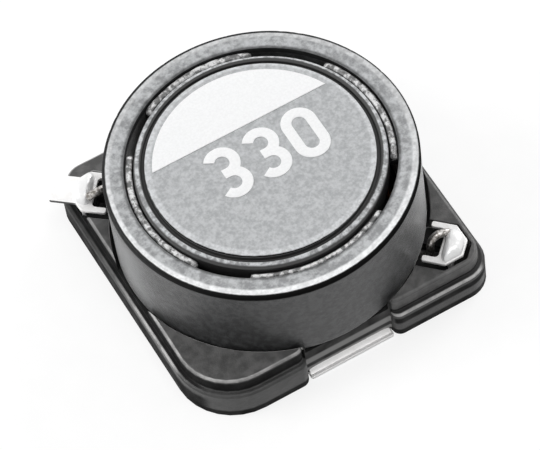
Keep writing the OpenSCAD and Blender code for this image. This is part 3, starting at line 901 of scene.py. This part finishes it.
mouth_half, mouth_deep = 0.65, 0.6
tail_half, tail_long = 0.6, 0.8
fold, sheet_edge = 0.1, 0.03

LUG = [[lug_start, mouth_half], [lug_start + mouth_deep, mouth_half], [lug_start + mouth_deep, -mouth_half],
       [lug_start, -mouth_half], [lug_start, -lug_half], [lug_end - lug_cut, -lug_half],
       [lug_end, lug_cut - lug_half], [lug_end, lug_half - lug_cut], [lug_end - lug_cut, lug_half],
       [lug_start, lug_half]]
LUG_ROUNDS = [0.08, 0.16, 0.16, 0.08, 0.08, 0.1, 0.1, 0.1, 0.1, 0.08]


def inward(line):
    """The direction into an outline at each point, square to the line between its neighbours."""
    ahead = np.roll(line, -1, axis=0) - np.roll(line, 1, axis=0)
    return unit(np.stack([-ahead[:, 1], ahead[:, 0]], axis=-1))


def plate(line, low, high):
    """A flat piece of sheet with this outline. Its edges are broken: near each face the outline is
    drawn in along its own normals in a quarter circle."""
    levels = [(rest, low + done) for rest, done in quarter(sheet_edge, 4)]
    levels += [(done, high - rest) for rest, done in quarter(sheet_edge, 4)]
    return capped(np.array([risen(line + inward(line) * inset, z) for inset, z in levels]), "plate")


def ribbon(path, half_width, back):
    """Folded sheet: a flat section with rounded edges carried along a path of (outward, height)."""
    along = unit(np.gradient(path, axis=0))
    normal = np.stack([-along[:, 1], along[:, 0]], axis=-1)
    section = rounded(oblong(-half_width, half_width, -sheet_z / 2, sheet_z / 2), sheet_edge, steps=3)
    flat = path[:, None] + section[None, :, 1:] * normal[:, None]
    across = np.broadcast_to(section[None, :, :1], flat.shape[:2] + (1,))
    rings = np.concatenate([flat[..., :1], across, flat[..., 1:]], axis=-1)
    return capped(corner_frame(rings, back), "ribbon")


def fillet(back):
    """Tin drawn up in the corner between the pad and the notch's wall: a hollow section that is
    carried along the wall, with both ends drawn down."""
    wall = notch_deep - half
    section = np.array([[0, sheet_z - 0.05], [0, 0.40], [-0.02, 0.36], [-0.045, 0.28], [-0.09, 0.21],
                        [-0.16, sheet_z + 0.01], [-0.16, sheet_z - 0.05]])
    along = np.linspace(-pad_half + 0.06, pad_half - 0.06, 60)
    rise = 0.8 + 0.06 * ripple(41, 5 * along, 0 * along, first=1) - 0.5 * (np.abs(along) / pad_half) ** 12
    height = sheet_z + (section[:, 1:] - sheet_z) * np.where(section[:, 1:] > sheet_z, rise, 1)
    across = wall - 0.002 + section[:, :1] + 0 * along
    points = np.stack([along + 0 * across, across, height + 0 * across], axis=-1)
    if back:
        points = points * [-1, -1, 1]
    return capped(points.transpose(1, 0, 2), "fillet")


def terminal(name, back):
    """The pad, the strip, the folded riser and the lug, joined into one solid."""
    pad = joined(plate(placed(rounded(PAD, 0.1), back, False), 0, sheet_z), fillet(back), "UNION")
    strip = plate(placed(rounded(strip_line(back), 0.08), back, False), 0.002, sheet_z - 0.002)
    rise = [[riser_at - 0.55, sheet_z / 2], [riser_at, sheet_z / 2], [riser_at, lug_top - sheet_z / 2],
            [riser_at + 0.2, lug_top - sheet_z / 2]]
    rise = refined(rounded(rise, fold, closed=False, steps=6), 0.3, closed=False)
    riser = ribbon(rise, riser_half - 0.01, back)
    lug = plate(placed(rounded(LUG, LUG_ROUNDS, steps=6), back, True), lug_low, lug_top)
    whole = joined(joined(joined(pad, strip, "UNION"), riser, "UNION"), lug, "UNION")
    if back:
        tail = oblong(lug_end - lug_cut, lug_end + tail_long, -tail_half, tail_half)
        tail = placed(rounded(tail, [0, 0.08, 0.08, 0]), back, True)
        whole = joined(whole, plate(tail, lug_low + 0.001, lug_top - 0.001), "UNION")
    whole.name = name
    return flat_faced(whole, 35)


def tin_finish():
    """Bright tin with faint stains and rolling marks. At the end of the tail, the side that faces to the
    front and left is painted black as painted shade."""
    finish = Finish("tinned sheet")
    stain = finish.noise(0.45, 3.0, 0.6)
    rolled = finish.noise(0.08, 2.0, 0.5, stretch=(1, 0.15, 1))
    colour = finish.mix(stain.step(0.4, 0.75), grey(0.98, 0.005), grey(0.90, 0.012))
    # Painted shade: the tail's end is matt black on its side towards the front and left.
    painted_shade_side, tail_end = finish.faces(-0.64, -0.77).step(0.5, 0.8), finish.along(-0.77, 0.64).step(7.2, 7.6)
    relief = finish.relief(rolled + 0.6 * finish.noise(0.15), 0.006)
    return finish.surface(painted_shade=0.85 * painted_shade_side * tail_end, Base_Color=colour, Metallic=0.35,
                          Roughness=0.38 + 0.14 * stain, Normal=relief)


tin = tin_finish()
dress(terminal("front_clip", False), tin, "tinned_sheet", "front_terminal")
dress(terminal("back_clip", True), tin, "tinned_sheet", "back_terminal")

# ------------------------------------------------------------------ the solder
# A bright heap of solder on the outer part of each lug. It holds the end of the
# wire, wets the plate nearly to its edges and draws up into a low rounded top.

(_, _, solder_low), (_, _, solder_high) = corners("front_solder")
SPREAD = [[0.70, 0.00], [0.70, 0.46], [0.86, 0.66], [1.14, 0.62], [1.34, 0.44], [1.44, 0.18], [1.44, -0.30],
          [1.24, -0.54], [0.96, -0.80], [0.76, -0.70], [0.70, -0.40]]


def solder_heap(name, back, seed):
    """A low dome over a free outline: the outline is carried in towards the middle, and the height
    follows a quarter of an oval, steep at the rim and flat on top, with a soft unevenness."""
    outline = np.array(SPREAD) + [lug_start, 0]
    ring = smooth_path(np.concatenate([outline[-1:], outline, outline[:2]]) @ np.eye(2, 3), 9)[9:-10, :2]
    middle = ring.mean(axis=0)
    share = np.concatenate([np.linspace(1, 0.85, 8), np.linspace(0.82, 0, 16)])[:, None]
    angle = np.arctan2(ring[:, 1] - middle[1], ring[:, 0] - middle[0])
    lumps = 1 + 0.07 * ripple(seed, angle[None], share * 4, first=2, count=4) * share
    top = (solder_high - solder_low - 0.03) * (1 - share ** 3.2) ** 0.55 * np.clip(lumps, 0.7, 1.07)
    flat = middle + share[..., None] * (ring - middle)
    points = np.concatenate([flat, solder_low + top[..., None]], axis=-1)
    skin = Skin().grid(corner_frame(points, back), around=True)
    return skin.lid(corner_frame(risen(flat[0], solder_low), back)).piece(name, sharp=70)


def solder_finish():
    """Bright solder, frosted in patches."""
    finish = Finish("bright solder")
    frost = finish.noise(0.12, 3.0, 0.6)
    colour = finish.greys(frost.step(0.45, 0.8), 0.99, 0.94)
    return finish.surface(Base_Color=colour, Metallic=0.35, Roughness=0.24 + 0.2 * frost,
                          Normal=finish.relief(finish.noise(0.2) + 0.4 * frost, 0.012))


bright = solder_finish()
dress(solder_heap("front_heap", False, 3), bright, "solder", "front_solder")
dress(solder_heap("back_heap", True, 7), bright, "solder", "back_solder")

# ------------------------------------------------------------ the gap adhesive
# Four beads of grey epoxy hold the bobbin in the middle of the ring. Each was
# run into the gap and has set with a lumpy crown between two thin hollows.

bead_foot, bead_crown = bead_low[2], bead_high[2]
BEADS = {"right": (-30, 32, 1.0), "back": (65, 120, 1.0), "left": (143, 212, 1.0), "front": (236, 303, 1.9)}


def gap_bead(name, start, end, lean, seed):
    """A bead's section, a foot between the two cores under a crown with a hollow at each side,
    carried round the gap from start to end. Its crown and its ends are uneven. The crown follows
    the sine of the way across to the power lean: above 1 it lies nearer to the ring."""
    angles = np.linspace(start, end, 150)
    across = np.concatenate([[0.02, 0.02, 0.02], np.linspace(0.02, 0.98, 19), [0.98, 0.98, 0.98]])
    ends = np.clip(np.minimum(angles - start, end - angles) / 0.05, 0, 1)
    ends = np.sqrt(1 - (1 - ends) ** 2)
    arch = np.sin(math.pi * across[3:-3] ** lean)
    crown = 0.17 * arch ** 0.55
    depth = bead_foot + (bead_crown - bead_foot - 0.19) * np.array([0.0, 0.4, 0.8])
    level = bead_crown - 0.20
    lump = 0.020 * ripple(seed, 9 * angles[None], 5 * across[3:-3, None], first=1, count=7)
    top = level + (crown[:, None] + lump) * ends - 0.10 * (1 - ends)
    sides = np.broadcast_to(depth[:, None], (3, len(angles)))
    height = np.concatenate([sides, np.minimum(top, bead_crown), sides[::-1]])
    inner = flange_r + seam
    radius = inner + (bore_r - seam - inner) * across[:, None] + 0 * angles
    points = turned(radius, height, angles)
    crest = np.concatenate([[0, 0, 0], arch, [0, 0, 0]])
    skin = Skin().grid(points, closed=True, tone=crest)
    return skin.lid(points[:, 0]).lid(points[:, -1]).piece(name, sharp=60)


def bead_finish():
    """Cloudy grey on the crown, and painted shade, black, in the hollows at its sides, by the mesh's own
    numbers.
    """
    finish = Finish("gap epoxy")
    cloud = finish.noise(0.22, 3.0, 0.6)
    body = finish.greys(cloud.step(0.40, 0.60), 0.14, 0.74)
    # Painted shade: the hollows at the bead's sides are coloured black.
    colour = finish.mix(finish.tone().step(0.2, 0.6), grey(0.02), body)
    return finish.surface(Base_Color=colour, Roughness=0.22 + 0.2 * cloud, IOR=1.52,
                          Normal=finish.relief(finish.noise(0.12, 2.0), 0.03))


epoxy = bead_finish()
for order, (side, (start, end, lean)) in enumerate(BEADS.items()):
    bead = gap_bead("epoxy_bead_" + side, math.radians(start), math.radians(end), lean, 20 + order)
    dress(bead, epoxy, "gap_adhesive", "gap_bead_" + side)

# ----------------------------------------------------------- the seat adhesive
# The ring and the bobbin are glued down. The glue is a thin film under each,
# and under the ring it has crept out a little at the edge of the seat.


def glue_ring(name):
    """Two arcs of film between the wire slots, with a rounded outer edge."""
    skin = Skin()
    thick = ring_bottom - seat_z
    section = rounded(oblong(bore_r + 0.07, ring_r - 0.1, seat_z, ring_bottom), thick * 0.45, steps=3)
    gap = 0.33 / (bore_r + 0.5 * (ring_r - bore_r))
    for start, end in ((LUG_ANGLE[False], LUG_ANGLE[True]), (LUG_ANGLE[True], LUG_ANGLE[False] + TURN)):
        angles = np.linspace(start + gap, end - gap, 120)
        points = turned(section[:, :1], section[:, 1:], angles)
        points[..., :2] *= (1 + 0.002 * ripple(31, angles[None], section[:, 1:], first=6))[..., None]
        skin.grid(points, closed=True).lid(points[:, 0]).lid(points[:, -1])
    return skin.piece(name)


def glue_spot(name):
    """A round film whose edge has run out unevenly."""
    low, high = corners("drum_adhesive")
    angles = np.linspace(0, TURN, 96, endpoint=False)
    edge = (high[0] - 0.06) * (1 + 0.012 * ripple(37, angles, 0, first=2))
    shares = np.array([0, 0.98, 1.0, 1.0, 0.98, 0])
    heights = np.array([low[2], low[2], low[2] + 0.01, high[2] - 0.01, high[2], high[2]])
    radius = shares[:, None] * np.minimum(edge, high[0])
    return Skin().grid(turned(radius, heights[:, None], angles), around=True).piece(name)


def glue_finish():
    """Amber glue, a little cloudy."""
    finish = Finish("seat glue")
    cloud = finish.noise(0.4, 2.0)
    return finish.surface(Base_Color=finish.mix(cloud, (0.42, 0.39, 0.31, 1), (0.55, 0.52, 0.44, 1)),
                          Roughness=0.25 + 0.1 * cloud, Normal=finish.relief(finish.noise(0.1), 0.01))


glue = glue_finish()
dress(glue_ring("glue_under_ring"), glue, "seat_adhesive", "ring_adhesive")
dress(glue_spot("glue_under_bobbin"), glue, "seat_adhesive", "drum_adhesive")

# ----------------------------------------------------------------- the marking
# White ink printed on the ground face: a half-moon field that shows which way
# round the part lies, and a plain three-digit value below it.

_, (_, field_r, ink_top) = corners("polarity_field")
field_edge, ink_edge = 1.62, 0.02
digit_tall, digit_stroke, digit_gap = 2.4, 0.42, 0.25
digit_wide = (digit_tall + digit_stroke) / 2
digit_middle, digit_right = field_edge - 0.32 - digit_tall / 2, 0.35


def printed(skin, line):
    """Adds one printed patch: a thin film whose edge falls away in a quarter circle."""
    rings = [risen(line, face_z)]
    rings += [risen(line + inward(line) * done, ink_top - 0.5 * rest) for rest, done in quarter(ink_edge, 4)]
    return skin.grid(np.array(rings), around=True).lid(rings[-1]).lid(rings[0])


def arc(middle, radius, start, end, steps=22):
    """Points on a circle between two angles in degrees."""
    angles = np.radians(np.linspace(start, end, steps))
    return np.stack([middle[0] + radius * np.cos(angles), middle[1] + radius * np.sin(angles)], axis=-1)


def half_moon():
    """A circle cut off by the straight edge."""
    reach = math.degrees(math.asin(field_edge / field_r))
    return printed(Skin(), arc((0, 0), field_r, reach, 180 - reach, 120)).piece("half_moon_print")


def three(left, base):
    """Outline of a 3: two open bowls that meet at a short bar in the middle."""
    outer, inner = digit_wide / 2, digit_wide / 2 - digit_stroke
    rise = digit_tall / 2 - outer
    middle = digit_stroke / 2
    upper, lower = (left, base + rise), (left, base - rise)
    waist = math.degrees(math.asin(min(1, (rise - middle) / inner)))
    pinch = math.degrees(math.acos(rise / outer))
    return np.concatenate([
        arc(upper, outer, 150, pinch - 90, 26), arc(lower, outer, 90 - pinch, -150, 26),
        arc(lower, inner, -150, waist, 24), [[left - 0.2, base - middle], [left - 0.2, base + middle]],
        arc(upper, inner, -waist, 150, 24)])


def zero(left, base, radius):
    """Outline of a 0: two half circles with straight sides."""
    rise = (digit_tall - digit_wide) / 2
    lower = arc((left, base - rise), radius, 180, 360)
    return np.concatenate([arc((left, base + rise), radius, 0, 180), lower])


def value_print():
    """The three digits. The 0 is a band between two outlines."""
    skin = Skin()
    pitch = digit_wide + digit_gap
    for place in (-1, 0):
        printed(skin, three(digit_right + place * pitch, digit_middle)[::-1])
    outer = zero(digit_right + pitch, digit_middle, digit_wide / 2)
    inner = zero(digit_right + pitch, digit_middle, digit_wide / 2 - digit_stroke)
    shares = np.array([0, 0, 0.03, 0.08, 0.92, 0.97, 1, 1])[:, None, None]
    fall = [face_z, ink_top - 0.01, ink_top - 0.003, ink_top]
    heights = np.array(fall + fall[::-1])
    band = outer * (1 - shares) + inner * shares
    rings = np.concatenate([band, np.broadcast_to(heights[:, None, None], band.shape[:2] + (1,))], axis=-1)
    return skin.grid(rings, around=True, closed=True).piece("value_print")


def ink_finish():
    """Matt white, with the fine unevenness of the printing pad."""
    finish = Finish("white ink")
    dots = finish.noise(0.09, 2.0, 0.6)
    colour = finish.greys(dots.step(0.3, 0.7), 0.86, 0.91, -0.005)
    return finish.surface(Base_Color=colour, Roughness=0.55 + 0.1 * dots, Normal=finish.relief(dots, 0.004))


ink = ink_finish()
dress(half_moon(), ink, "white_ink", "polarity_field")
dress(value_print(), ink, "white_ink", "value_digits")
